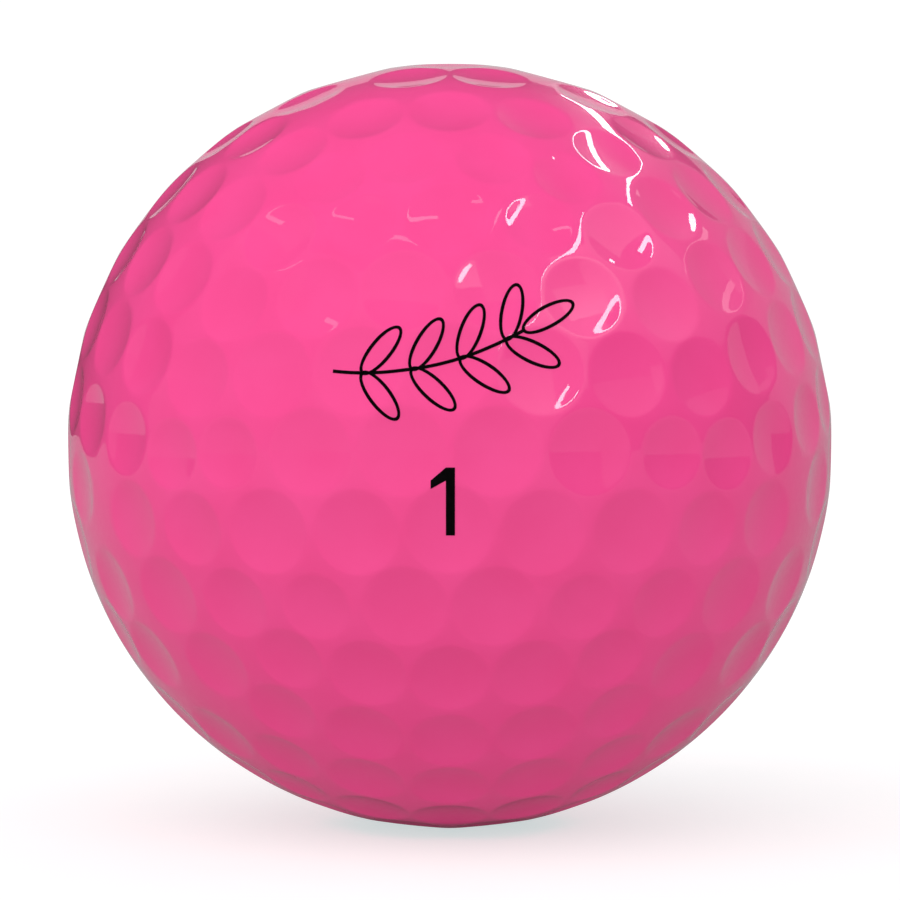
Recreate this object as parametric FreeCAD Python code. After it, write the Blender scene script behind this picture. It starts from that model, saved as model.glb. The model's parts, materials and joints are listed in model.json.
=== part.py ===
import FreeCAD, Part
import math
import os

from FreeCAD import Vector

# Three-piece golf ball. Ball centre at the origin, +Z up, the printed face towards -Y. Millimetres.

# Driving dimensions
BALL_RADIUS = 21.335          # 42.67 mm, the smallest diameter the rules of golf allow
COVER_THICKNESS = 1.25
MANTLE_THICKNESS = 1.35
INK_THICKNESS = 0.04
STAMP_TILT = 4.5              # degrees the printed face looks up from the horizontal

# Dimples
DIMPLE_DEPTH = 0.16           # below the plane of the dimple's rim
LAND_WIDTH = 0.35             # degrees of plain surface left between neighbouring dimples
LATTICE_PITCH = 12.75         # degrees between dimples in the middle of a face
CORNER_STRETCH = 0.25         # degrees the pitch grows towards the corners of a face
OUTER_ROW_OFFSET = 5.8        # degrees from the edge of a face to its outer row
OUTER_ROW_PITCH = 12.15
INNER_ROW_OFFSET = 17.9       # degrees from the edge of a face to the row inside it
INNER_ROW_BOW = 0.35          # degrees that row closes on the edge, times the step squared
INNER_ROW_PITCH = 11.9
CORNER_ROW_COLATITUDE = 52.9  # degrees from the middle of a face to its corner row
CORNER_ROW_PITCH = 12.0
TIP_OFFSET = 6.7              # degrees from a corner to the three dimples around it

PLUG_MARGIN = 0.004           # how far a dimple's cutting body runs on past the rim
PLUG_LEAN = 0.2               # how far its side leans in above the ball

# Printed number, as heights below and distances beside the middle of the printed face
NUMBER_TOP = -2.2
NUMBER_HEIGHT = 3.35
NUMBER_RIGHT = 0.26
STEM_WIDTH = 0.45
FLAG_REACH = 0.76             # how far the flag of the 1 stands out from its stem
FLAG_DROP = 0.64
FLAG_THICKNESS = 0.42

# Printed mark: a sprig, its leaves drawn as fine outlines in pairs along a curved stem
LINE_WIDTH = 0.17
STEM_MIDDLE_X = -0.9
STEM_MIDDLE_Y = 2.9
STEM_RADIUS = 15.0
STEM_TILT = 12.0              # degrees from the horizontal to the middle of the stem
STEM_SWEEP = 38.0             # degrees the stem turns
LEAF_PAIRS = 4
FIRST_PAIR = 0.6              # place of the first pair, as a share of the gap between pairs
LEAF_SPREAD = 52.0            # degrees between a leaf and the stem
LEAF_LENGTH = 2.9
LEAF_WIDTH = 1.0

# Seam between the two half covers
SEAM_BAND = 25.0              # degrees either side of the equator in which neighbours are sought
NEIGHBOUR_REACH = 20.0        # degrees
SHORTEST_SEAM_STEP = 0.3      # degrees

# Directions of the printed face in the frame of the ball
FACE_RIGHT = Vector(1, 0, 0)
FACE_UP = Vector(0, math.sin(math.radians(STAMP_TILT)), math.cos(math.radians(STAMP_TILT)))
FACE_OUT = FACE_RIGHT.cross(FACE_UP)

# Spherical tetrahedron that the dimples are laid out on
FACE_TO_EDGE = math.degrees(math.acos(1 / math.sqrt(3)))
FACE_TO_CORNER = math.degrees(math.acos(1 / 3))
EDGE_AZIMUTH = -90.0
CORNER_AZIMUTH = -30.0
ROW_HEIGHT = math.sqrt(3) / 2


def on_face(x, y, z):
    """Turn face coordinates (right, up, out) into ball coordinates."""
    return FACE_RIGHT * x + FACE_UP * y + FACE_OUT * z


def direction(colatitude, azimuth):
    """Unit vector at an angle from the middle of the printed face, both in degrees."""
    c = math.radians(colatitude)
    a = math.radians(azimuth)
    return on_face(math.sin(c) * math.cos(a), math.sin(c) * math.sin(a), math.cos(c))


def turned(start, towards, degrees):
    """Unit vector reached by turning from start towards a perpendicular unit vector."""
    t = math.radians(degrees)
    return start * math.cos(t) + towards * math.sin(t)


def angle_between(a, b):
    return math.degrees(math.acos(max(-1.0, min(1.0, a.dot(b)))))


def mirrored(point, normal):
    return point - normal * (2 * point.dot(normal))


EDGE_MIDDLE = direction(FACE_TO_EDGE, EDGE_AZIMUTH)
EDGE_INWARD = direction(FACE_TO_EDGE - 90, EDGE_AZIMUTH)
CORNER = direction(FACE_TO_CORNER, CORNER_AZIMUTH)
MIRRORS = (FACE_RIGHT, on_face(0.5, ROW_HEIGHT, 0), EDGE_INWARD)


def copies(seed):
    """All places a dimple reaches when the three mirrors of the tetrahedron repeat it."""
    found = [seed]
    for point in found:
        for mirror in MIRRORS:
            image = mirrored(point, mirror)
            if all(angle_between(image, known) > 0.1 for known in found):
                found.append(image)
    return found


def lattice_seeds():
    """Triangular lattice around the middle of a face, one sixth of it."""
    seeds = []
    for row in range(3):
        for step in range(3):
            x = step + 0.5 * ((row + 1) % 2)
            y = -(row + 1 / 3) * ROW_HEIGHT
            azimuth = math.degrees(math.atan2(y, x))
            if azimuth > CORNER_AZIMUTH + 0.1:
                continue
            swing = math.cos(math.radians(3 * (azimuth - CORNER_AZIMUTH)))
            pitch = LATTICE_PITCH + CORNER_STRETCH * swing
            seeds.append(direction(math.hypot(x, y) * pitch, azimuth))
    return seeds


def edge_row_seeds():
    """The two rows that run along an edge of a face, half of each."""
    seeds = []
    for step in range(3):
        outer = turned(EDGE_MIDDLE, FACE_RIGHT, step * OUTER_ROW_PITCH)
        seeds.append(turned(outer, EDGE_INWARD, OUTER_ROW_OFFSET))
        inner = turned(EDGE_MIDDLE, FACE_RIGHT, step * INNER_ROW_PITCH)
        inner_offset = INNER_ROW_OFFSET - INNER_ROW_BOW * step ** 2
        seeds.append(turned(inner, EDGE_INWARD, inner_offset))
    return seeds


def corner_seeds():
    """The short row across a corner of a face and the dimple at the tip of an edge."""
    middle = direction(CORNER_ROW_COLATITUDE, CORNER_AZIMUTH)
    beside = turned(middle, on_face(-0.5, -ROW_HEIGHT, 0), CORNER_ROW_PITCH)
    along_edge = (EDGE_MIDDLE - CORNER * EDGE_MIDDLE.dot(CORNER)).normalize()
    tip = turned(CORNER, along_edge, TIP_OFFSET)
    return [middle, beside, tip]


def dimple_layout():
    """List of (unit direction, angular radius in degrees), one entry per dimple."""
    centres = []
    for seed in lattice_seeds() + edge_row_seeds() + corner_seeds():
        centres.extend(copies(seed))
    layout = []
    for centre in centres:
        nearest = min(angle_between(centre, other) for other in centres if other is not centre)
        layout.append((centre, (nearest - LAND_WIDTH) / 2))
    return layout


def dimple_plug(ball_radius, centre, angular_radius, raised=0.0):
    """Lens that cuts one dimple; raised leaves a film of that thickness on its floor.

    The floor is part of a sphere. It runs a hair past the rim, then the lens closes over the ball.
    """
    rim_radius = BALL_RADIUS * math.sin(math.radians(angular_radius))
    rim_height = BALL_RADIUS * math.cos(math.radians(angular_radius))
    curve_radius = (rim_radius ** 2 + DIMPLE_DEPTH ** 2) / (2 * DIMPLE_DEPTH)
    curve_height = rim_height - DIMPLE_DEPTH + curve_radius
    curve_radius -= raised
    slope = (ball_radius ** 2 - curve_radius ** 2 + curve_height ** 2) / (2 * curve_height)
    past_rim = slope + PLUG_MARGIN
    edge = math.sqrt(curve_radius ** 2 - (curve_height - past_rim) ** 2)
    half_edge = edge / 2
    half_height = curve_height - math.sqrt(curve_radius ** 2 - half_edge ** 2)
    bottom = Vector(0, 0, curve_height - curve_radius)
    rim = Vector(edge, 0, past_rim)
    lid = Vector(edge - PLUG_LEAN, 0, ball_radius + PLUG_LEAN)
    top = Vector(0, 0, ball_radius + PLUG_LEAN)
    floor = Part.Arc(bottom, Vector(half_edge, 0, half_height), rim).toShape()
    lines = [Part.makeLine(*ends) for ends in ((rim, lid), (lid, top), (top, bottom))]
    profile = Part.Face(Part.Wire([floor] + lines))
    plug = profile.revolve(Vector(0, 0, 0), Vector(0, 0, 1), 360)
    plug.Placement = FreeCAD.Placement(Vector(0, 0, 0), FreeCAD.Rotation(Vector(0, 0, 1), centre))
    return plug


def dimple_plugs(ball_radius, dimples, raised=0.0):
    return Part.makeCompound([dimple_plug(ball_radius, c, r, raised) for c, r in dimples])


def dimpled_sphere(radius, dimples, raised=0.0):
    return Part.makeSphere(radius).cut(dimple_plugs(radius, dimples, raised))


def circumcentre(a, b, c):
    """Unit vector at equal angles from three others, on their side of the ball."""
    centre = (b - a).cross(c - a).normalize()
    return centre if centre.dot(a) > 0 else centre * -1


def seam_corners(layout):
    """Corners of the line that separates the front dimples from the rear ones.

    A corner is the middle of three neighbouring dimples that do not all lie on one side.
    """
    band = [c for c, _ in layout if abs(90 - angle_between(c, FACE_OUT)) < SEAM_BAND]
    front = [c.dot(FACE_OUT) > 0 for c in band]
    count = len(band)
    near = [[j for j in range(count) if j != i and angle_between(band[i], band[j]) < NEIGHBOUR_REACH]
            for i in range(count)]
    corners = {}
    for i in range(count):
        for j in near[i]:
            for k in near[i]:
                if not i < j < k or k not in near[j] or front[i] == front[j] == front[k]:
                    continue
                centre = circumcentre(band[i], band[j], band[k])
                reach = centre.dot(band[i])
                if all(centre.dot(band[m]) < reach + 1e-9 for m in near[i] if m not in (j, k)):
                    corners[(i, j, k)] = centre
    return walk(corners, front)


def walk(corners, front):
    """Put the seam corners in order: neighbours share one front and one rear dimple."""
    triangle = next(iter(corners))
    path = []
    left = set(corners)
    while triangle is not None:
        left.discard(triangle)
        if not path or angle_between(path[-1], corners[triangle]) > SHORTEST_SEAM_STEP:
            path.append(corners[triangle])
        triangle = next((other for other in sorted(left) if touch(triangle, other, front)), None)
    return path


def touch(one, other, front):
    shared = set(one) & set(other)
    return len(shared) == 2 and len({front[i] for i in shared}) == 2


def seam_body(layout):
    """Body that holds the front half of the ball, bounded by the wandering seam."""
    path = [corner * (3 * BALL_RADIUS) for corner in seam_corners(layout)]
    centre = Vector(0, 0, 0)
    far = FACE_OUT * (6 * BALL_RADIUS)
    faces = []
    for here, ahead in zip(path, path[1:] + path[:1]):
        for tip in (centre, far):
            faces.append(Part.Face(Part.makePolygon([tip, here, ahead, tip])))
    return Part.makeSolid(Part.makeShell(faces))


def cover_halves(layout):
    cavity = Part.makeSphere(BALL_RADIUS - COVER_THICKNESS)
    cover = Part.makeSphere(BALL_RADIUS).cut(cavity)
    front_body = seam_body(layout)
    halves = []
    for blank, side in ((cover.common(front_body), 1), (cover.cut(front_body), -1)):
        dimples = [(c, r) for c, r in layout if c.dot(FACE_OUT) * side > 0]
        halves.append(blank.cut(dimple_plugs(BALL_RADIUS, dimples)))
    return halves


def mantle():
    outer = Part.makeSphere(BALL_RADIUS - COVER_THICKNESS)
    return outer.cut(Part.makeSphere(BALL_RADIUS - COVER_THICKNESS - MANTLE_THICKNESS))


def core():
    return Part.makeSphere(BALL_RADIUS - COVER_THICKNESS - MANTLE_THICKNESS)


def extruded(face):
    """Push a flat outline, drawn through the ball centre, out past the printed face."""
    return face.extrude(FACE_OUT * (2 * BALL_RADIUS))


def number_outline():
    """The figure 1: a straight stem with a slanting flag at its top left."""
    right = NUMBER_RIGHT
    left = right - STEM_WIDTH
    tip = left - FLAG_REACH
    top = NUMBER_TOP
    corners = [(right, top), (right, top - NUMBER_HEIGHT), (left, top - NUMBER_HEIGHT),
               (left, top - FLAG_DROP), (tip, top - FLAG_DROP - FLAG_THICKNESS),
               (tip, top - FLAG_DROP), (left, top)]
    points = [on_face(x, y, 0) for x, y in corners]
    return extruded(Part.Face(Part.makePolygon(points + points[:1])))


def leaf_line(base, slant):
    """Outline of a leaf that starts at a point of the stem: the band between two ellipses."""
    long_way = on_face(math.cos(slant), math.sin(slant), 0)
    short_way = FACE_OUT.cross(long_way)
    centre = base + long_way * (LEAF_LENGTH / 2)
    wires = []
    for grow in (LINE_WIDTH / 2, -LINE_WIDTH / 2):
        long_end = centre + long_way * (LEAF_LENGTH / 2 + grow)
        short_end = centre + short_way * (LEAF_WIDTH / 2 + grow)
        wires.append(Part.Wire(Part.Ellipse(long_end, short_end, centre).toShape()))
    outer, inner = (extruded(Part.Face(wire)) for wire in wires)
    return outer.cut(inner)


def stem_point(turn, offset=0.0):
    """Point of the stem, as the angle turned from its middle; offset moves it away from its centre."""
    tilt = math.radians(STEM_TILT)
    angle = tilt + turn
    x = STEM_MIDDLE_X - STEM_RADIUS * math.sin(tilt) + (STEM_RADIUS + offset) * math.sin(angle)
    y = STEM_MIDDLE_Y + STEM_RADIUS * math.cos(tilt) - (STEM_RADIUS + offset) * math.cos(angle)
    return on_face(x, y, 0)


def stem_line():
    half = math.radians(STEM_SWEEP / 2)
    far, near = ([stem_point(turn, offset) for turn in (-half, 0.0, half)]
                 for offset in (LINE_WIDTH / 2, -LINE_WIDTH / 2))
    edges = [Part.Arc(*far).toShape(), Part.makeLine(far[2], near[2]),
             Part.Arc(*reversed(near)).toShape(), Part.makeLine(near[0], far[0])]
    return extruded(Part.Face(Part.Wire(edges)))


def mark_outline():
    """The stem, a pair of leaves at each step along it, and one leaf at its tip."""
    sweep = math.radians(STEM_SWEEP)
    spread = math.radians(LEAF_SPREAD)
    lines = [stem_line()]
    for pair in range(LEAF_PAIRS):
        turn = sweep * ((pair + FIRST_PAIR) / LEAF_PAIRS - 0.5)
        along = math.radians(STEM_TILT) + turn
        for slant in (along + spread, along - spread):
            lines.append(leaf_line(stem_point(turn), slant))
    lines.append(leaf_line(stem_point(sweep / 2), math.radians(STEM_TILT) + sweep / 2))
    return lines[0].fuse(lines[1:])


def printed(outline, layout):
    """Film of ink that follows the dimpled surface inside an outline."""
    dimples = [(c, r) for c, r in layout if angle_between(c, FACE_OUT) < 45]
    top = dimpled_sphere(BALL_RADIUS + INK_THICKNESS, dimples, INK_THICKNESS)
    bottom = dimpled_sphere(BALL_RADIUS, dimples)
    return outline.common(top).cut(bottom)


def main():
    layout = dimple_layout()
    front_half, rear_half = cover_halves(layout)
    parts = {
        "core": core(),
        "mantle": mantle(),
        "cover_half_front": front_half,
        "cover_half_rear": rear_half,
        "print_number": printed(number_outline(), layout),
        "print_mark": printed(mark_outline(), layout),
    }
    os.makedirs("parts", exist_ok=True)
    for name, shape in parts.items():
        solids = shape.Solids
        print(name, "solids", len(solids), "volume", round(shape.Volume, 3), "valid", shape.isValid())
        single = solids[0] if len(solids) == 1 else Part.makeCompound(solids)
        single.exportStep(os.path.join("parts", name + ".step"))


main()
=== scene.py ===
"""Looks of a pink three-piece golf ball: dimpled cover in two halves, the print on it, and what is inside.

Lengths are metres and angles are degrees. The dimples follow the same layout as the CAD model.
"""
import json
import math
from functools import partial

import bmesh
import bpy
import numpy as np
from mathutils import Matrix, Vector


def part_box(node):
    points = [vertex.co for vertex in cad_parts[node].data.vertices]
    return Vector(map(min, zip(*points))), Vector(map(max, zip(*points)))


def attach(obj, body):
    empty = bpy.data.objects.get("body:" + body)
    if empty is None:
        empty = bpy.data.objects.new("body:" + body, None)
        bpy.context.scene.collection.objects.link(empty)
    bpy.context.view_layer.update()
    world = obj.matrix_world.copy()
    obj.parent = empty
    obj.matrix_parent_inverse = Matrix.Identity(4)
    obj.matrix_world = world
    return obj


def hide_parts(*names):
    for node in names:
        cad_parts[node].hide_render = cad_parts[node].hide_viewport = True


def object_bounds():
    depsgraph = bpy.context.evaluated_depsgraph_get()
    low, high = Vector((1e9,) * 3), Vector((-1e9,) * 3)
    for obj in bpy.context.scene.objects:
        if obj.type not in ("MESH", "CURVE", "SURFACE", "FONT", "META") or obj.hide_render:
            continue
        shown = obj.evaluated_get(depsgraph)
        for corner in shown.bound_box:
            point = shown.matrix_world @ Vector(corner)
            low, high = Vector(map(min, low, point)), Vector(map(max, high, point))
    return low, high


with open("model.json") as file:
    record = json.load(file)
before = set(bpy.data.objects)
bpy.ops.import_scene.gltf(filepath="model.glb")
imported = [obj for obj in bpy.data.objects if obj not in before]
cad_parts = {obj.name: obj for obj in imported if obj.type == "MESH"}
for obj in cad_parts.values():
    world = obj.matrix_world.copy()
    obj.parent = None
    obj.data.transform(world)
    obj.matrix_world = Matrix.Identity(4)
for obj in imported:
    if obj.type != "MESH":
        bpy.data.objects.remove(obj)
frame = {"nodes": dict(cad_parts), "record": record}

CAD_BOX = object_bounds()
MM = 0.001
BODY = "root"

# Sizes that the frame holds
TEE_SEAT = next(mount for mount in frame["record"]["mounts"] if mount["name"] == "tee_seat")
BALL_RADIUS = -TEE_SEAT["pos_m"][2]
MANTLE_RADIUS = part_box("mantle")[1].x

# Dimple layout, as in the CAD model
STAMP_TILT = 4.5              # how far the printed face looks up
DIMPLE_DEPTH = 0.16 * MM      # below the plane of the dimple's rim
LAND_WIDTH = 0.35             # plain surface between neighbouring dimples
LATTICE_PITCH = 12.75
CORNER_STRETCH = 0.25
OUTER_ROW_OFFSET = 5.8
OUTER_ROW_PITCH = 12.15
INNER_ROW_OFFSET = 17.9
INNER_ROW_BOW = 0.35
INNER_ROW_PITCH = 11.9
CORNER_ROW_COLATITUDE = 52.9
CORNER_ROW_PITCH = 12.0
TIP_OFFSET = 6.7
NEIGHBOUR_REACH = 20.0
FACE_REACH = 45.0             # dimples that the print can touch
SAME_PLACE = 0.1              # two places closer than this are one

# Mesh of one dimple and the land around it
RIM_SOFTNESS = 0.018 * MM     # how far the rims are worn down where a dimple meets the ball
OUTLINE_STEP = 0.90           # along the outline of a dimple's cell
SHORTEST_OUTLINE_EDGE = 0.3
DIMPLE_RINGS = (0.16, 0.32, 0.48, 0.62, 0.74, 0.83, 0.90, 0.95, 0.985)  # shares of the rim's angle
LAND_RINGS = (0.0, 0.3, 0.62)  # shares of the way from the rim to the cell's outline
SLOPE_STEP = 2e-4             # radians between the samples that a surface normal is taken from
SMOOTH_COSINE = 0.7           # a face that leans further from the surface's normal keeps its own

# Print, as in the CAD model
INK_LIFT = 0.022 * MM
INK_SINK = 0.01 * MM
NUMBER_TOP = -2.2 * MM
NUMBER_HEIGHT = 3.35 * MM
NUMBER_RIGHT = 0.26 * MM
STEM_WIDTH = 0.45 * MM
FLAG_REACH = 0.76 * MM
FLAG_DROP = 0.64 * MM
FLAG_THICKNESS = 0.42 * MM
NUMBER_GRID = 0.1 * MM
LINE_WIDTH = 0.17 * MM
LINE_PROFILE = (              # across a line: place in half widths, and whether it is raised
    (-1.0, False), (-1.0, True), (-0.5, True), (0.0, True), (0.5, True), (1.0, True), (1.0, False))
LINE_STEP = 0.06 * MM
STEM_MIDDLE = (-0.9 * MM, 2.9 * MM)
STEM_RADIUS = 15.0 * MM
STEM_TILT = 12.0              # from the horizontal to the middle of the stem
STEM_SWEEP = 38.0             # how far the stem turns
LEAF_PAIRS = 4
FIRST_PAIR = 0.6              # place of the first pair, as a share of the gap between pairs
LEAF_SPREAD = 52.0            # between a leaf and the stem
LEAF_LENGTH = 2.9 * MM
LEAF_WIDTH = 1.0 * MM

# Materials
COVER_PINK = (0.99, 0.080, 0.325)
COVER_PINK_DEEP = (0.97, 0.072, 0.305)
COVER_FINISH = {"IOR": 1.45, "Specular_IOR_Level": 0.1,
                "Coat_Weight": 1.0, "Coat_Roughness": 0.02, "Coat_IOR": 1.5}
FIBRE_CONTRAST = 0.01
MIX_SHARE, MIX_FIRST_COLOUR, MIX_SECOND_COLOUR = 0, 6, 7  # inputs of Blender's Mix node for colours
MIX_COLOUR = 2                # and its output

# Camera
CAMERA_ELEVATION = 1.5
CAMERA_DISTANCE = 8.7         # ball radii
CAMERA_LENS = 132.2           # millimetres
SENSOR_WIDTH = 36.0           # millimetres
CLIP_RANGE = (0.01, 10.0)
FRAME_SHIFT = (0.0003, -0.0048)  # how far the ball sits from the middle of the frame, as a share of it

# Studio. The floor is four discs: one for the camera, and just beneath it those that light the ball.
ROOM_RADIUS = 3.0
PATCH_STEP = 6.0              # degrees between the points of a curved panel
FLOOR_CORNERS = 64
BACKDROP_GLOW = 1.05
WORLD_GLOW = 0.61
PAPER_SHADE = (0.70, 0.45, 0.48)  # with the glow from beneath this is white paper, and it takes up
PAPER_GLOW = (0.42, 0.63, 0.61)   # most of the ball's pink light
REFLECTED_PAPER_DROP = 0.05 * MM
REFLECTED_PAPER_SHADE = (0.37, 0.37, 0.37)
REFLECTED_PAPER_GLOW = (0.03, 0.03, 0.03)
CONTACT_SHADE_DROP = 0.08 * MM
CONTACT_SHADE_RADIUS = 0.32   # ball radii; so far out the ball keeps the light off the floor
CONTACT_SHADE_GLOW = 0.24
BOUNCE_DROP = 0.1 * MM
BOUNCE_GLOW = 0.54
BOUNCE_TINT = (1.0, 0.8, 0.85)  # the floor throws back light that the ball has coloured
LAMP_DISTANCE = 1.2
SOFT_LAMPS = (
    # name, azimuth, elevation, strength, softness
    ("front_lamp", -18, 25, 1.80, 110),
    ("rear_lamp", 180, 40, 0.40, 130),
)
REFLECTED_PANELS = (
    # name, azimuths, elevations, distance, strength, fade from bottom to top
    ("dim_room", (-180, 180), (-1, 90), 2.8, 0.05, None),
    ("left_haze", (-100, -40), (-1, 17), 2.6, 0.24, None),
    ("upper_left_haze", (-100, -40), (17, 52), 2.6, 0.17, None),
    ("front_haze", (-40, 36), (-1, 17), 2.6, 0.30, None),
    ("front_upper_haze", (-40, 24), (17, 50), 2.6, 0.26, None),
    ("front_right_wall", (24, 45), (17, 44), 2.6, 1.2, (0.3, 1.0)),
    ("glow_beside_strip", (38, 62), (36, 47), 2.55, 1.9, (0.5, 1.0)),
    ("right_wall", (45, 100), (20, 54), 2.6, 0.8, (0.3, 1.0)),
    ("rear_right_wall", (100, 152), (22, 52), 2.6, 0.34, (1.0, 0.5)),
    ("far_right_wall", (110, 168), (-1, 22), 2.6, 0.42, None),
    ("right_lamp", (98, 124), (34, 36), 2.5, 1.5, None),
    ("back_wall", (166, 196), (-1, 30), 2.5, 0.55, None),
    ("left_lamp", (-76, -60), (46, 47.5), 2.5, 2.0, None),
    ("upper_left_lamp", (-42, -14), (62, 63.5), 2.5, 2.0, None),
    ("top_lamp", (10, 45), (69, 70.5), 2.5, 2.5, None),
)
STRIP_LAMPS = (               # both ends of each, in metres from the ball
    ((0.53, -1.60, 0.86), (0.53, -0.08, 0.86)),
    ((0.62, 0.17, 0.82), (0.19, 0.81, 0.55)),
)
STRIP_WIDTH = 0.028
STRIP_GLOW = 13.0

# Directions of the printed face
SIN_60 = math.sqrt(3) / 2
FACE_TO_EDGE = math.degrees(math.acos(1 / math.sqrt(3)))
FACE_TO_CORNER = math.degrees(math.acos(1 / 3))
EDGE_AZIMUTH = -90.0
CORNER_AZIMUTH = -30.0
FACE_RIGHT = np.array((1.0, 0.0, 0.0))
FACE_UP = np.array((0.0, math.sin(math.radians(STAMP_TILT)), math.cos(math.radians(STAMP_TILT))))
FACE_OUT = np.cross(FACE_RIGHT, FACE_UP)


# Dimple layout

def unit(vectors):
    return vectors / np.linalg.norm(vectors, axis=-1, keepdims=True)


def on_face(x, y, z):
    """Face coordinates (right, up, out) as a vector of the ball's frame."""
    return FACE_RIGHT * x + FACE_UP * y + FACE_OUT * z


def direction(colatitude, azimuth):
    """Unit vector at an angle from the middle of the printed face."""
    c = math.radians(colatitude)
    a = math.radians(azimuth)
    return on_face(math.sin(c) * math.cos(a), math.sin(c) * math.sin(a), math.cos(c))


def turned(start, towards, degrees):
    t = math.radians(degrees)
    return start * math.cos(t) + towards * math.sin(t)


def angles_between(a, b):
    return np.degrees(np.arccos(np.clip(a @ np.transpose(b), -1.0, 1.0)))


EDGE_MIDDLE = direction(FACE_TO_EDGE, EDGE_AZIMUTH)
EDGE_INWARD = direction(FACE_TO_EDGE - 90, EDGE_AZIMUTH)
CORNER = direction(FACE_TO_CORNER, CORNER_AZIMUTH)
MIRRORS = (FACE_RIGHT, on_face(0.5, SIN_60, 0), EDGE_INWARD)


def copies(seed):
    """All places a dimple reaches when the three mirrors of the tetrahedron repeat it."""
    found = [seed]
    for point in found:
        for mirror in MIRRORS:
            image = point - mirror * (2 * (point @ mirror))
            if all(angles_between(image, known) > SAME_PLACE for known in found):
                found.append(image)
    return found


def lattice_seeds():
    """Triangular lattice around the middle of a face, one sixth of it."""
    seeds = []
    for row in range(3):
        for step in range(3):
            x = step + 0.5 * ((row + 1) % 2)
            y = -(row + 1 / 3) * SIN_60
            azimuth = math.degrees(math.atan2(y, x))
            if azimuth > CORNER_AZIMUTH + SAME_PLACE:
                continue
            swing = math.cos(math.radians(3 * (azimuth - CORNER_AZIMUTH)))
            pitch = LATTICE_PITCH + CORNER_STRETCH * swing
            seeds.append(direction(math.hypot(x, y) * pitch, azimuth))
    return seeds


def edge_row_seeds():
    """The two rows that run along an edge of a face, half of each."""
    seeds = []
    for step in range(3):
        outer = turned(EDGE_MIDDLE, FACE_RIGHT, step * OUTER_ROW_PITCH)
        seeds.append(turned(outer, EDGE_INWARD, OUTER_ROW_OFFSET))
        inner = turned(EDGE_MIDDLE, FACE_RIGHT, step * INNER_ROW_PITCH)
        seeds.append(turned(inner, EDGE_INWARD, INNER_ROW_OFFSET - INNER_ROW_BOW * step ** 2))
    return seeds


def corner_seeds():
    """The short row across a corner of a face and the dimple at the tip of an edge."""
    middle = direction(CORNER_ROW_COLATITUDE, CORNER_AZIMUTH)
    beside = turned(middle, on_face(-0.5, -SIN_60, 0), CORNER_ROW_PITCH)
    along_edge = unit(EDGE_MIDDLE - CORNER * (EDGE_MIDDLE @ CORNER))
    return [middle, beside, turned(CORNER, along_edge, TIP_OFFSET)]


def dimple_layout():
    """Unit directions of all dimples, and the angles from their middles to their rims."""
    seeds = lattice_seeds() + edge_row_seeds() + corner_seeds()
    centres = np.array([image for seed in seeds for image in copies(seed)])
    apart = angles_between(centres, centres)
    np.fill_diagonal(apart, 180.0)
    return centres, (apart.min(axis=1) - LAND_WIDTH) / 2


DIMPLES, RIM_ANGLES = dimple_layout()
NEAR = [np.flatnonzero(angles_between(DIMPLES, centre) < NEIGHBOUR_REACH) for centre in DIMPLES]
FACE_DIMPLES = np.flatnonzero(angles_between(DIMPLES, FACE_OUT) < FACE_REACH)


# Surface of the ball

def surface_radius(directions, near):
    """Distance from the ball's centre to its surface along some directions, near some dimples.

    A dimple's floor is part of a sphere. A soft minimum joins the floors to the ball, so rims are rounded.
    """
    rim_radius = BALL_RADIUS * np.sin(np.radians(RIM_ANGLES[near]))
    rim_height = BALL_RADIUS * np.cos(np.radians(RIM_ANGLES[near]))
    curve = (rim_radius ** 2 + DIMPLE_DEPTH ** 2) / (2 * DIMPLE_DEPTH)
    height = rim_height - DIMPLE_DEPTH + curve
    cosine = directions @ DIMPLES[near].T
    reach = curve ** 2 - height ** 2 * (1 - cosine ** 2)
    floor = height * cosine - np.sqrt(np.maximum(reach, 0))
    floor = np.where((reach > 0) & (cosine > 0), floor, 2 * BALL_RADIUS)
    return BALL_RADIUS - RIM_SOFTNESS * np.log1p(np.exp((BALL_RADIUS - floor) / RIM_SOFTNESS).sum(axis=1))


def surface_normals(directions, near):
    """Outward unit normals of the surface, from its slope along two tangents."""
    helper = np.where(np.abs(directions[:, 2:]) < 0.9, (0.0, 0.0, 1.0), (1.0, 0.0, 0.0))
    first = unit(np.cross(helper, directions))
    second = np.cross(directions, first)
    normals = directions * surface_radius(directions, near)[:, None]
    for tangent in (first, second):
        ahead = surface_radius(unit(directions + tangent * SLOPE_STEP), near)
        behind = surface_radius(unit(directions - tangent * SLOPE_STEP), near)
        normals = normals - tangent * ((ahead - behind) / (2 * SLOPE_STEP))[:, None]
    return unit(normals)


# Cells: the part of the surface that lies nearest to each dimple

def cell_corners():
    """Points at equal angles from three or more dimples with none nearer, and the dimples round each."""
    corners = []
    for i, near in enumerate(NEAR):
        for j in near[near > i]:
            for k in near[near > j]:
                centre = unit(np.cross(DIMPLES[j] - DIMPLES[i], DIMPLES[k] - DIMPLES[i]))
                centre = centre if centre @ DIMPLES[i] > 0 else -centre
                if (DIMPLES[near] @ centre).max() > centre @ DIMPLES[i] + 1e-9:
                    continue
                add_corner(corners, centre, {i, int(j), int(k)})
    return corners


def add_corner(corners, centre, around):
    for known, members in corners:
        if angles_between(centre, known) < SHORTEST_OUTLINE_EDGE:
            members.update(around)
            return
    corners.append((centre, around))


def cell_outlines():
    """For each dimple, the corners of its cell in order, counterclockwise from outside."""
    corners = cell_corners()
    outlines = []
    for i, centre in enumerate(DIMPLES):
        mine = [c for c, (_, members) in enumerate(corners) if i in members]
        east = unit(np.cross(np.roll(centre, 1), centre))
        north = np.cross(centre, east)
        spots = np.array([corners[c][0] for c in mine])
        order = np.argsort(np.arctan2(spots @ north, spots @ east))
        outlines.append([mine[o] for o in order])
    return np.array([c for c, _ in corners]), outlines


CORNERS, OUTLINES = cell_outlines()
IN_FRONT = DIMPLES @ FACE_OUT > 0


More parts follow.
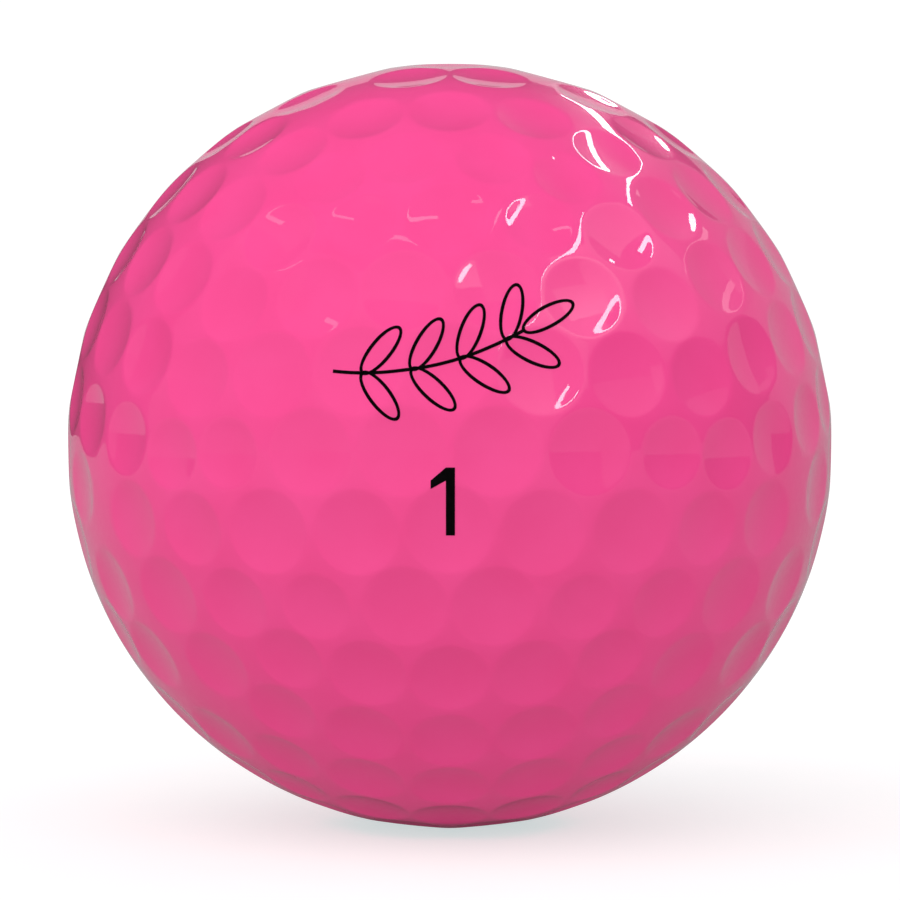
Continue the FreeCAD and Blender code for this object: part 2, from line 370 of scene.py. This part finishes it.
class Shell:
    """Collects the points, faces and normals of one closed cover half."""

    def __init__(self):
        self.points = []
        self.normals = []
        self.faces = []
        self.shared = {}

    def add(self, points, normals):
        first = len(self.points)
        self.points.extend(points)
        self.normals.extend(normals)
        return list(range(first, len(self.points)))

    def outline_point(self, key, spot, near):
        """The outer and the inner point at one place on a cell's outline, made once."""
        if key not in self.shared:
            spot = spot[None]
            outer = self.add(spot * surface_radius(spot, near)[:, None], surface_normals(spot, near))
            inner = self.add(spot * MANTLE_RADIUS, -spot)
            self.shared[key] = (outer[0], inner[0])
        return self.shared[key]


def outline_spots(outline):
    """Yields (key, direction, the two corners of the edge) for each step round a cell."""
    for here, ahead in zip(outline, outline[1:] + outline[:1]):
        low, high = min(here, ahead), max(here, ahead)
        steps = max(1, round(float(angles_between(CORNERS[low], CORNERS[high])) / OUTLINE_STEP))
        for step in range(steps):
            along = step if here == low else steps - step
            share = along / steps
            spot = unit(CORNERS[low] * (1 - share) + CORNERS[high] * share)
            key = low if along == 0 else high if along == steps else (low, high, along)
            yield key, spot, (low, high)


def add_cell(shell, i, seam_edges):
    """Rings of faces from the middle of a dimple out to its cell's outline, and the cover's inner side."""
    centre = DIMPLES[i]
    near = NEAR[i]
    spots = list(outline_spots(OUTLINES[i]))
    outer, inner = zip(*[shell.outline_point(key, spot, near) for key, spot, _ in spots])
    directions = np.array([spot for _, spot, _ in spots])
    reach = angles_between(directions, centre)
    tangents = unit(directions - (directions @ centre)[:, None] * centre)
    rim = RIM_ANGLES[i]
    turns = [np.full_like(reach, share * rim) for share in DIMPLE_RINGS]
    turns += [rim + share * (reach - rim) for share in LAND_RINGS]
    rings = []
    for turn in turns:
        t = np.radians(turn)[:, None]
        ring = np.cos(t) * centre + np.sin(t) * tangents
        rings.append(shell.add(ring * surface_radius(ring, near)[:, None], surface_normals(ring, near)))
    rings.append(list(outer))
    middle = centre[None]
    outer_middle = shell.add(middle * surface_radius(middle, near)[:, None], middle)[0]
    inner_middle = shell.add(middle * MANTLE_RADIUS, -middle)[0]
    count = len(spots)
    for k in range(count):
        n = (k + 1) % count
        shell.faces.append((outer_middle, rings[0][k], rings[0][n]))
        for low, high in zip(rings, rings[1:]):
            shell.faces.append((low[k], high[k], high[n], low[n]))
        shell.faces.append((inner_middle, inner[n], inner[k]))
        if spots[k][2] in seam_edges:
            shell.faces.append((outer[n], outer[k], inner[k], inner[n]))


def seam_edges():
    """Cell edges that have a front dimple on one side and a rear dimple on the other."""
    sides = {}
    for i, outline in enumerate(OUTLINES):
        for here, ahead in zip(outline, outline[1:] + outline[:1]):
            sides.setdefault((min(here, ahead), max(here, ahead)), set()).add(bool(IN_FRONT[i]))
    return {edge for edge, found in sides.items() if len(found) == 2}


def cover_half(name, node, front, edges):
    shell = Shell()
    for i in np.flatnonzero(IN_FRONT == front):
        add_cell(shell, int(i), edges)
    piece = mesh_piece(name, shell.points, shell.faces, shell.normals)
    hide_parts(node)
    return piece


def mesh_piece(name, points, faces, normals):
    """Mesh object with smooth faces and the exact normals of the surface where they are given."""
    mesh = bpy.data.meshes.new(name)
    mesh.from_pydata(np.asarray(points).tolist(), [], faces)
    mesh.update()
    mesh.shade_smooth()
    normals = np.asarray(normals, float)
    corner_points = np.empty(len(mesh.loops), int)
    mesh.loops.foreach_get("vertex_index", corner_points)
    face_normals = np.empty(len(mesh.polygons) * 3)
    mesh.polygons.foreach_get("normal", face_normals)
    sizes = np.empty(len(mesh.polygons), int)
    mesh.polygons.foreach_get("loop_total", sizes)
    flat = np.repeat(face_normals.reshape(-1, 3), sizes, axis=0)
    smooth = normals[corner_points]
    agree = (smooth * flat).sum(axis=1) > SMOOTH_COSINE
    mesh.normals_split_custom_set(np.where(agree[:, None], smooth, flat).tolist())
    piece = bpy.data.objects.new(name, mesh)
    bpy.context.scene.collection.objects.link(piece)
    return piece


# Print

def face_spot(x, y):
    """Unit direction and surface radius where the line through face coordinates leaves the ball."""
    radius = np.full(len(x), BALL_RADIUS)
    for _ in range(3):
        out = np.sqrt(radius ** 2 - x ** 2 - y ** 2)
        spots = unit(x[:, None] * FACE_RIGHT + y[:, None] * FACE_UP + out[:, None] * FACE_OUT)
        radius = surface_radius(spots, FACE_DIMPLES)
    return spots, radius


def printed_points(x, y, raised):
    """Points of an ink film on the cover, with the cover's own normals."""
    spots, radius = face_spot(x, y)
    lifted = radius + np.where(raised, INK_LIFT, -INK_SINK)
    normals = surface_normals(spots, FACE_DIMPLES)
    return spots * lifted[:, None], np.where(raised[:, None], normals, -normals)


def line_faces(steps, closed):
    """Faces of a flat tube made of LINE_PROFILE's columns, with its ends closed unless it runs round."""
    columns = len(LINE_PROFILE)
    faces = []
    for c in range(columns):
        d = (c + 1) % columns
        for s in range(steps if closed else steps - 1):
            t = (s + 1) % steps
            faces.append((c * steps + s, d * steps + s, d * steps + t, c * steps + t))
    if not closed:
        faces.append(tuple(c * steps for c in reversed(range(columns))))
        faces.append(tuple(c * steps + steps - 1 for c in range(columns)))
    return faces


def stem_point(turn, offset=0.0):
    """Face coordinates on the stem's arc, offset sideways."""
    tilt = math.radians(STEM_TILT)
    radius = STEM_RADIUS + offset
    x = STEM_MIDDLE[0] - STEM_RADIUS * math.sin(tilt) + radius * np.sin(tilt + turn)
    y = STEM_MIDDLE[1] + STEM_RADIUS * math.cos(tilt) - radius * np.cos(tilt + turn)
    return x, y


def leaf_point(base, slant, turn, offset):
    """Face coordinates on the ellipse of a leaf that starts at a point of the stem."""
    along = LEAF_LENGTH / 2 + (LEAF_LENGTH / 2 + offset) * np.cos(turn)
    across = (LEAF_WIDTH / 2 + offset) * np.sin(turn)
    x = base[0] + along * math.cos(slant) - across * math.sin(slant)
    y = base[1] + along * math.sin(slant) + across * math.cos(slant)
    return x, y


def printed_line(place, turn, closed):
    """Points, normals and faces of a fine line; place gives face coordinates for a turn and an offset."""
    rows = [place(turn, across * LINE_WIDTH / 2) for across, _ in LINE_PROFILE]
    raised = np.repeat([up for _, up in LINE_PROFILE], len(turn))
    x, y = (np.concatenate(values) for values in zip(*rows))
    points, normals = printed_points(x, y, raised)
    return points, normals, line_faces(len(turn), closed)


def sprig_lines():
    """Yields the stem and each leaf: pairs along the stem and one leaf at its tip."""
    sweep = math.radians(STEM_SWEEP)
    steps = round(STEM_RADIUS * sweep / LINE_STEP)
    yield printed_line(stem_point, np.linspace(-sweep / 2, sweep / 2, steps), False)
    leaves = [(sweep / 2, 0.0)]
    for pair in range(LEAF_PAIRS):
        turn = sweep * ((pair + FIRST_PAIR) / LEAF_PAIRS - 0.5)
        leaves += [(turn, math.radians(LEAF_SPREAD)), (turn, -math.radians(LEAF_SPREAD))]
    round_turn = np.linspace(0, 2 * math.pi, round(2 * LEAF_LENGTH / LINE_STEP), endpoint=False)
    for turn, spread_angle in leaves:
        slant = math.radians(STEM_TILT) + turn + spread_angle
        yield printed_line(partial(leaf_point, stem_point(turn), slant), round_turn, True)


def sprig_mark():
    points, normals, faces = [], [], []
    for more_points, more_normals, more_faces in sprig_lines():
        first = len(points)
        points.extend(more_points)
        normals.extend(more_normals)
        faces.extend(tuple(v + first for v in face) for face in more_faces)
    piece = mesh_piece("printed_sprig_mark", points, faces, normals)
    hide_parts("print_mark")
    return piece


def number_corners():
    right = NUMBER_RIGHT
    left = right - STEM_WIDTH
    tip = left - FLAG_REACH
    top = NUMBER_TOP
    return [(right, top), (left, top), (tip, top - FLAG_DROP), (tip, top - FLAG_DROP - FLAG_THICKNESS),
            (left, top - FLAG_DROP), (left, top - NUMBER_HEIGHT), (right, top - NUMBER_HEIGHT)]


def play_number():
    """The figure 1, cut into a fine grid so that it can follow the dimples."""
    grid = bmesh.new()
    grid.faces.new([grid.verts.new((x, y, 0)) for x, y in number_corners()])
    corners = np.array(number_corners())
    for axis in (0, 1):
        normal = np.eye(3)[axis]
        for cut in np.arange(corners[:, axis].min(), corners[:, axis].max(), NUMBER_GRID)[1:]:
            everything = grid.verts[:] + grid.edges[:] + grid.faces[:]
            bmesh.ops.bisect_plane(grid, geom=everything, plane_co=normal * cut, plane_no=normal)
    made = bmesh.ops.extrude_face_region(grid, geom=grid.faces[:])["geom"]
    for vertex in (v for v in made if isinstance(v, bmesh.types.BMVert)):
        vertex.co.z = 1
    bmesh.ops.recalc_face_normals(grid, faces=grid.faces[:])
    grid.verts.index_update()
    flat = np.array([v.co for v in grid.verts])
    faces = [tuple(v.index for v in face.verts) for face in grid.faces]
    grid.free()
    points, normals = printed_points(flat[:, 0], flat[:, 1], flat[:, 2] > 0.5)
    piece = mesh_piece("printed_play_number", points, faces, normals)
    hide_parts("print_number")
    return piece


# Materials

def new_material(name):
    """Empty node material; returns it with a function that adds and wires nodes."""
    material = bpy.data.materials.new(name)
    material.use_nodes = True
    tree = material.node_tree
    tree.nodes.clear()

    def node(kind, links=(), **values):
        made = tree.nodes.new(kind)
        for key, value in values.items():
            if hasattr(made, key):
                setattr(made, key, value)
            else:
                made.inputs[key.replace("_", " ")].default_value = value
        for socket, source in dict(links).items():
            tree.links.new(source, made.inputs[socket])
        return made

    return material, node


def object_space(node):
    return node("ShaderNodeTexCoord").outputs["Object"]


def noise(node, where, feature, detail=2.0, roughness=0.5):
    """Noise whose blobs are about `feature` metres across."""
    made = node("ShaderNodeTexNoise", {"Vector": where},
                Scale=1 / feature, Detail=detail, Roughness=roughness)
    return made.outputs["Fac"]


def spread(node, source, low, high, start=0.3, end=0.7):
    """Map a pattern's values between start and end onto low to high."""
    made = node("ShaderNodeMapRange", {"Value": source})
    for socket, value in (("From Min", start), ("From Max", end), ("To Min", low), ("To Max", high)):
        made.inputs[socket].default_value = value
    return made.outputs["Result"]


def blended(node, share, first, second):
    """Colour between two colours by a pattern."""
    made = node("ShaderNodeMix", data_type="RGBA")
    made.inputs[MIX_FIRST_COLOUR].default_value = (*first, 1)
    made.inputs[MIX_SECOND_COLOUR].default_value = (*second, 1)
    made.id_data.links.new(share, made.inputs[MIX_SHARE])
    return made.outputs[MIX_COLOUR]


def finished(node, material, links, **values):
    shader = node("ShaderNodeBsdfPrincipled", links, **values)
    node("ShaderNodeOutputMaterial", {"Surface": shader.outputs["BSDF"]})
    return material


def cover_material():
    """Hot pink resin under a clear coat: faint clouds of pigment and the ripple of sprayed lacquer."""
    material, node = new_material("pink_cover")
    where = object_space(node)
    clouds = spread(node, noise(node, where, 3.2 * MM, 3.0), 0.0, 1.0)
    colour = blended(node, clouds, COVER_PINK, COVER_PINK_DEEP)
    grain = spread(node, noise(node, where, 0.35 * MM, 2.0), 0.30, 0.38)
    ripple = node("ShaderNodeBump", {"Height": noise(node, where, 0.9 * MM, 1.0)},
                  Strength=0.22, Distance=0.01 * MM)
    normal = ripple.outputs["Normal"]
    links = {"Base Color": colour, "Roughness": grain, "Normal": normal, "Coat Normal": normal}
    return finished(node, material, links, **COVER_FINISH)


def ink_material():
    """Matt black pad-print ink, a little uneven where the pad laid it down."""
    material, node = new_material("print_ink")
    where = object_space(node)
    blots = spread(node, noise(node, where, 0.25 * MM, 3.0), 0.0, 1.0)
    colour = blended(node, blots, (0.001, 0.0008, 0.001), (0.003, 0.002, 0.0025))
    grain = spread(node, noise(node, where, 0.06 * MM, 2.0), 0.45, 0.62)
    links = {"Base Color": colour, "Roughness": grain}
    return finished(node, material, links, IOR=1.45, Specular_IOR_Level=0.04)


def mantle_material():
    """Milky ionomer resin with faint flow marks from the mould."""
    material, node = new_material("mantle_resin")
    where = object_space(node)
    swirl = noise(node, where, 6 * MM, 5.0, 0.62)
    marks = spread(node, swirl, 0.0, 1.0, 0.35, 0.65)
    colour = blended(node, marks, (0.78, 0.76, 0.70), (0.66, 0.63, 0.56))
    grain = spread(node, noise(node, where, 0.5 * MM, 3.0), 0.34, 0.5)
    bump = node("ShaderNodeBump", {"Height": swirl}, Strength=0.2, Distance=0.03 * MM)
    links = {"Base Color": colour, "Roughness": grain, "Normal": bump.outputs["Normal"]}
    return finished(node, material, links, IOR=1.5)


def core_material():
    """Ground rubber: teal compound with darker and lighter crumbs and a matt, scratched skin."""
    material, node = new_material("core_rubber")
    where = object_space(node)
    crumbs = node("ShaderNodeTexVoronoi", {"Vector": where}, Scale=1 / (0.8 * MM))
    tone = node("ShaderNodeSeparateColor", {"Color": crumbs.outputs["Color"]}).outputs["Red"]
    colour = blended(node, spread(node, tone, 0.0, 1.0, 0.1, 0.9), (0.03, 0.16, 0.2), (0.09, 0.32, 0.36))
    scratches = noise(node, where, 0.2 * MM, 4.0, 0.7)
    grain = spread(node, scratches, 0.55, 0.8)
    bump = node("ShaderNodeBump", {"Height": scratches}, Strength=0.5, Distance=0.05 * MM)
    links = {"Base Color": colour, "Roughness": grain, "Normal": bump.outputs["Normal"]}
    return finished(node, material, links, IOR=1.52)


def paper_material(name, colour, glow):
    """Pale matt studio paper, lit evenly from beneath as on a light table."""
    material, node = new_material(name)
    where = object_space(node)
    fibres = spread(node, noise(node, where, 4 * MM, 4.0), 0.0, 1.0)
    darker = tuple((1 - FIBRE_CONTRAST) * c for c in colour)
    lighter = tuple((1 + FIBRE_CONTRAST) * c for c in colour)
    tone = blended(node, fibres, darker, lighter)
    return finished(node, material, {"Base Color": tone}, Roughness=0.9, Specular_IOR_Level=0.0,
                    Emission_Color=(*glow, 1.0), Emission_Strength=1.0)


def glow_material(name, strength, tint=(1.0, 1.0, 1.0), fade=None):
    """A light card; its glow may fade from its lower edge to its upper one, by two shares of the strength."""
    material, node = new_material(name)
    glow = node("ShaderNodeEmission", Color=(*tint, 1.0), Strength=strength)
    if fade is not None:
        bottom, top = fade
        where = node("ShaderNodeTexCoord").outputs["Generated"]
        height = node("ShaderNodeSeparateXYZ", {"Vector": where}).outputs["Z"]
        share = spread(node, height, strength * bottom, strength * top, 0.0, 1.0)
        glow.id_data.links.new(share, glow.inputs["Strength"])
    node("ShaderNodeOutputMaterial", {"Surface": glow.outputs["Emission"]})
    return material


def dress(piece, material):
    piece.data.materials.clear()
    piece.data.materials.append(material)


# Object

def build_ball():
    edges = seam_edges()
    cover = cover_material()
    ink = ink_material()
    for name, node, front in (("dimpled_cover_front", "cover_half_front", True),
                              ("dimpled_cover_rear", "cover_half_rear", False)):
        half = cover_half(name, node, front, edges)
        dress(half, cover)
        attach(half, BODY)
    for printed in (sprig_mark(), play_number()):
        dress(printed, ink)
        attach(printed, BODY)
    dress(frame["nodes"]["mantle"], mantle_material())
    dress(frame["nodes"]["core"], core_material())


# Studio

def polar_place(azimuth, elevation, distance):
    """Place seen from the ball at an azimuth (0 is towards the camera, 90 to the right) and an elevation."""
    a = math.radians(azimuth)
    e = math.radians(elevation)
    return Vector((math.sin(a) * math.cos(e), -math.cos(a) * math.cos(e), math.sin(e))) * distance


def soft_lamp(name, place, strength, softness):
    """Large distant lamp aimed at the ball, which the glossy coat doesn't show."""
    light = bpy.data.lights.new(name, "SUN")
    light.energy = strength
    light.angle = math.radians(softness)
    lamp = bpy.data.objects.new(name, light)
    lamp.location = place
    lamp.rotation_euler = (-place).to_track_quat("-Z", "Y").to_euler()
    lamp.visible_glossy = False
    bpy.context.scene.collection.objects.link(lamp)


def staged(name, points, faces, material, **seen_by):
    """Add a stage piece that only the named kinds of ray meet."""
    mesh = bpy.data.meshes.new(name)
    mesh.from_pydata([tuple(point) for point in points], [], faces)
    mesh.shade_smooth()
    made = bpy.data.objects.new(name, mesh)
    bpy.context.scene.collection.objects.link(made)
    made.data.materials.append(material)
    for ray in ("camera", "diffuse", "glossy", "shadow", "transmission"):
        setattr(made, "visible_" + ray, seen_by.get(ray, False))


def patch(name, azimuths, elevations, distance, material, **seen_by):
    """Curved panel of the room round the ball, between two azimuths and two elevations."""
    across = max(2, round(abs(azimuths[1] - azimuths[0]) / PATCH_STEP))
    up = max(2, round(abs(elevations[1] - elevations[0]) / PATCH_STEP))
    points = []
    for e in np.linspace(*elevations, up + 1):
        for a in np.linspace(*azimuths, across + 1):
            points.append(polar_place(a, e, distance))
    faces = []
    for row in range(up):
        for column in range(across):
            corner = row * (across + 1) + column
            faces.append((corner, corner + 1, corner + across + 2, corner + across + 1))
    staged(name, points, faces, material, **seen_by)


def disc(name, radius, height, material, **seen_by):
    """Round floor under the ball."""
    turns = [2 * math.pi * k / FLOOR_CORNERS for k in range(FLOOR_CORNERS)]
    points = [(radius * math.cos(t), radius * math.sin(t), height) for t in turns]
    staged(name, points, [tuple(range(FLOOR_CORNERS))], material, **seen_by)


def floor_and_backdrop():
    """Pale paper floor and a white room, and beneath the paper the soft glow that it throws back up."""
    low = CAD_BOX[0].z
    paper = paper_material("studio_paper", PAPER_SHADE, PAPER_GLOW)
    disc("paper_floor", ROOM_RADIUS, low, paper, camera=True)
    mirrored = paper_material("reflected_paper", REFLECTED_PAPER_SHADE, REFLECTED_PAPER_GLOW)
    disc("reflected_floor", ROOM_RADIUS, low - REFLECTED_PAPER_DROP, mirrored, glossy=True)
    shade = glow_material("contact_shade", CONTACT_SHADE_GLOW, BOUNCE_TINT)
    shade_radius = CONTACT_SHADE_RADIUS * BALL_RADIUS
    disc("contact_shade", shade_radius, low - CONTACT_SHADE_DROP, shade, diffuse=True)
    bounce = glow_material("bounce_glow", BOUNCE_GLOW, BOUNCE_TINT)
    disc("floor_bounce", ROOM_RADIUS, low - BOUNCE_DROP, bounce, diffuse=True)
    white = glow_material("backdrop_glow", BACKDROP_GLOW)
    patch("backdrop", (-180, 180), (-2, 90), ROOM_RADIUS, white, camera=True)


def studio_world():
    """Even white light all round, hidden from the coat's reflections."""
    world = bpy.data.worlds.new("studio")
    world.use_nodes = True
    background = world.node_tree.nodes["Background"]
    background.inputs["Color"].default_value = (1.0, 1.0, 1.0, 1.0)
    background.inputs["Strength"].default_value = WORLD_GLOW
    world.cycles_visibility.glossy = False
    bpy.context.scene.world = world


def reflected_room():
    """What the coat reflects: dim walls, brighter panels at the right and behind, and two strip lamps."""
    for name, azimuths, elevations, distance, strength, fade in REFLECTED_PANELS:
        glow = glow_material(name + "_glow", strength, fade=fade)
        patch(name, azimuths, elevations, distance, glow, glossy=True)
    strip = glow_material("strip_glow", STRIP_GLOW)
    for ends in STRIP_LAMPS:
        near, far = (Vector(end) for end in ends)
        side = (far - near).cross(near + far).normalized() * STRIP_WIDTH / 2
        corners = [near - side, far - side, far + side, near + side]
        staged("strip_lamp", corners, [(0, 1, 2, 3)], strip, glossy=True)


def camera():
    lens = bpy.data.cameras.new("camera")
    lens.sensor_width = SENSOR_WIDTH
    lens.lens = CAMERA_LENS
    lens.shift_x, lens.shift_y = FRAME_SHIFT
    lens.clip_start, lens.clip_end = CLIP_RANGE
    made = bpy.data.objects.new("camera", lens)
    made.location = polar_place(0, CAMERA_ELEVATION, CAMERA_DISTANCE * BALL_RADIUS)
    made.rotation_mode = "QUATERNION"
    made.rotation_quaternion = (-made.location).to_track_quat("-Z", "Y")
    bpy.context.scene.collection.objects.link(made)
    bpy.context.scene.camera = made


def studio():
    floor_and_backdrop()
    studio_world()
    reflected_room()
    for name, azimuth, elevation, strength, softness in SOFT_LAMPS:
        soft_lamp(name, polar_place(azimuth, elevation, LAMP_DISTANCE), strength, softness)
    camera()
    bpy.context.scene.view_settings.view_transform = "Standard"


build_ball()
studio()
